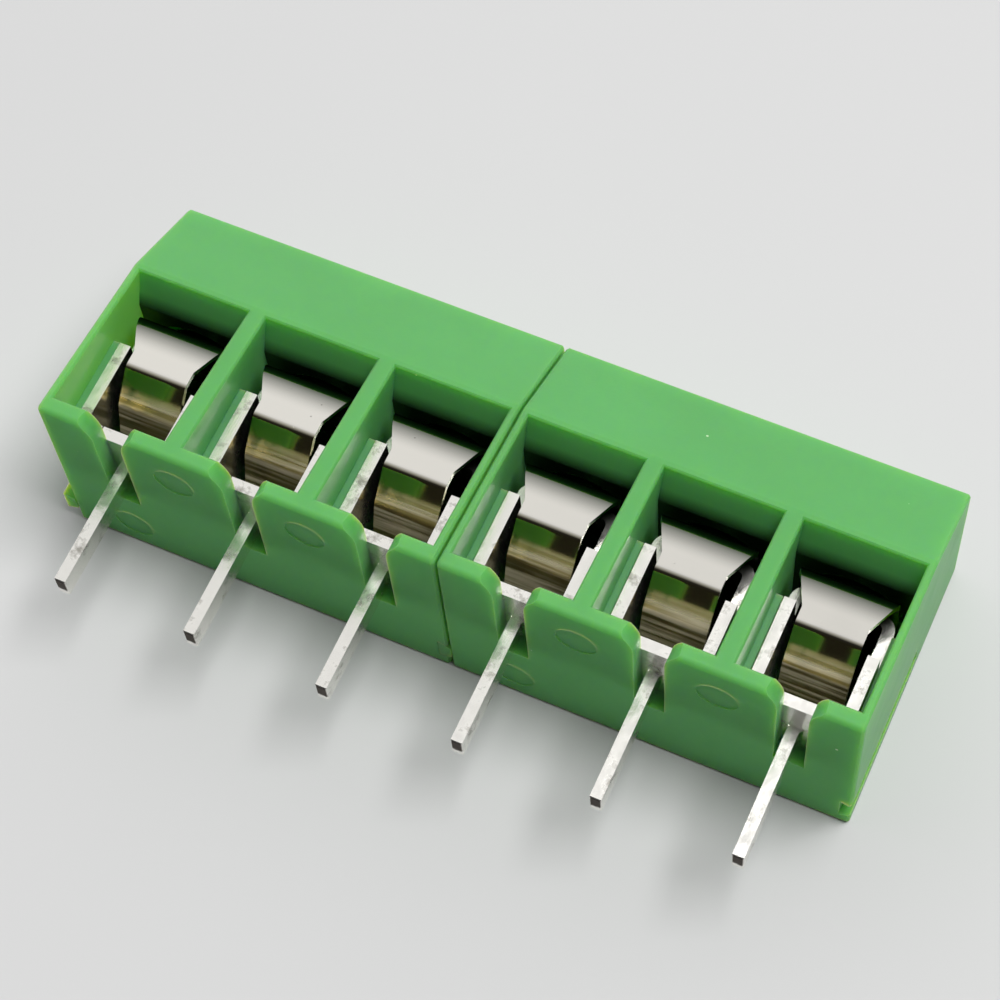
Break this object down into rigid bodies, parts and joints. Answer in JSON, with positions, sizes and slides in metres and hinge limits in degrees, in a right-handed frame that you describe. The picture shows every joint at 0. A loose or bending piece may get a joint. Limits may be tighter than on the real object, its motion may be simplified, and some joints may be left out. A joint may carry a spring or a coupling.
{
  "type": "pcb screw terminal",
  "caption": "Green board-mount screw terminal: dovetailed moulded blocks with open wire pockets, folded clamp frames with solder pins, leaf wire guards and slotted clamping screws.",
  "frame": {"origin": "under the middle of the whole outline, on the back face that the terminal lies on", "axes": "X along the row of poles, +Y towards the screw heads, -Y towards the circuit board, +Z towards the wire entries"},
  "size_m": [0.0304, 0.0148, 0.0084],
  "materials": {
    "housing_nylon": "moulded translucent green polyamide, satin",
    "tinned_sheet": "tin-plated sheet, slightly mottled",
    "bright_leaf": "bright rolled spring leaf",
    "zinc_steel": "zinc-plated turned steel"
  },
  "bodies": {
    "housing": {"housing_left": "housing_nylon", "housing_right": "housing_nylon", "clamp_frame_1": "tinned_sheet", "clamp_frame_2": "tinned_sheet", "clamp_frame_3": "tinned_sheet", "clamp_frame_4": "tinned_sheet", "clamp_frame_5": "tinned_sheet", "clamp_frame_6": "tinned_sheet"},
    "guard_1": {"wire_guard_1": "bright_leaf"},
    "screw_1": {"screw_1": "zinc_steel"},
    "guard_2": {"wire_guard_2": "bright_leaf"},
    "screw_2": {"screw_2": "zinc_steel"},
    "guard_3": {"wire_guard_3": "bright_leaf"},
    "screw_3": {"screw_3": "zinc_steel"},
    "guard_4": {"wire_guard_4": "bright_leaf"},
    "screw_4": {"screw_4": "zinc_steel"},
    "guard_5": {"wire_guard_5": "bright_leaf"},
    "screw_5": {"screw_5": "zinc_steel"},
    "guard_6": {"wire_guard_6": "bright_leaf"},
    "screw_6": {"screw_6": "zinc_steel"}
  },
  "joints": [
    {"name": "guard_1_press", "type": "slide", "parent": "housing", "child": "guard_1", "axis": [0, -1, 0], "range_m": [-0.00112, 0.00045], "deforming": ["wire_guard_1"]},
    {"name": "screw_1_turn", "type": "hinge", "parent": "guard_1", "child": "screw_1", "pos_m": [-0.01227, 0.00387, 0.00364], "axis": [0, -1, 0], "range_deg": [-901, 361]},
    {"name": "guard_2_press", "type": "slide", "parent": "housing", "child": "guard_2", "axis": [0, -1, 0], "range_m": [-0.00112, 0.00045], "deforming": ["wire_guard_2"]},
    {"name": "screw_2_turn", "type": "hinge", "parent": "guard_2", "child": "screw_2", "pos_m": [-0.00728, 0.00387, 0.00364], "axis": [0, -1, 0], "range_deg": [-901, 361]},
    {"name": "guard_3_press", "type": "slide", "parent": "housing", "child": "guard_3", "axis": [0, -1, 0], "range_m": [-0.00112, 0.00045], "deforming": ["wire_guard_3"]},
    {"name": "screw_3_turn", "type": "hinge", "parent": "guard_3", "child": "screw_3", "pos_m": [-0.00228, 0.00387, 0.00364], "axis": [0, -1, 0], "range_deg": [-901, 361]},
    {"name": "guard_4_press", "type": "slide", "parent": "housing", "child": "guard_4", "axis": [0, -1, 0], "range_m": [-0.00112, 0.00045], "deforming": ["wire_guard_4"]},
    {"name": "screw_4_turn", "type": "hinge", "parent": "guard_4", "child": "screw_4", "pos_m": [0.00272, 0.00387, 0.00364], "axis": [0, -1, 0], "range_deg": [-901, 361]},
    {"name": "guard_5_press", "type": "slide", "parent": "housing", "child": "guard_5", "axis": [0, -1, 0], "range_m": [-0.00112, 0.00045], "deforming": ["wire_guard_5"]},
    {"name": "screw_5_turn", "type": "hinge", "parent": "guard_5", "child": "screw_5", "pos_m": [0.00773, 0.00387, 0.00364], "axis": [0, -1, 0], "range_deg": [-901, 361]},
    {"name": "guard_6_press", "type": "slide", "parent": "housing", "child": "guard_6", "axis": [0, -1, 0], "range_m": [-0.00112, 0.00045], "deforming": ["wire_guard_6"]},
    {"name": "screw_6_turn", "type": "hinge", "parent": "guard_6", "child": "screw_6", "pos_m": [0.01273, 0.00387, 0.00364], "axis": [0, -1, 0], "range_deg": [-901, 361]}
  ],
  "couplings": [
    {"joint": "screw_1_turn", "follows": "guard_1_press", "rad_per_m": 13963},
    {"joint": "screw_2_turn", "follows": "guard_2_press", "rad_per_m": 13963},
    {"joint": "screw_3_turn", "follows": "guard_3_press", "rad_per_m": 13963},
    {"joint": "screw_4_turn", "follows": "guard_4_press", "rad_per_m": 13963},
    {"joint": "screw_5_turn", "follows": "guard_5_press", "rad_per_m": 13963},
    {"joint": "screw_6_turn", "follows": "guard_6_press", "rad_per_m": 13963}
  ]
}
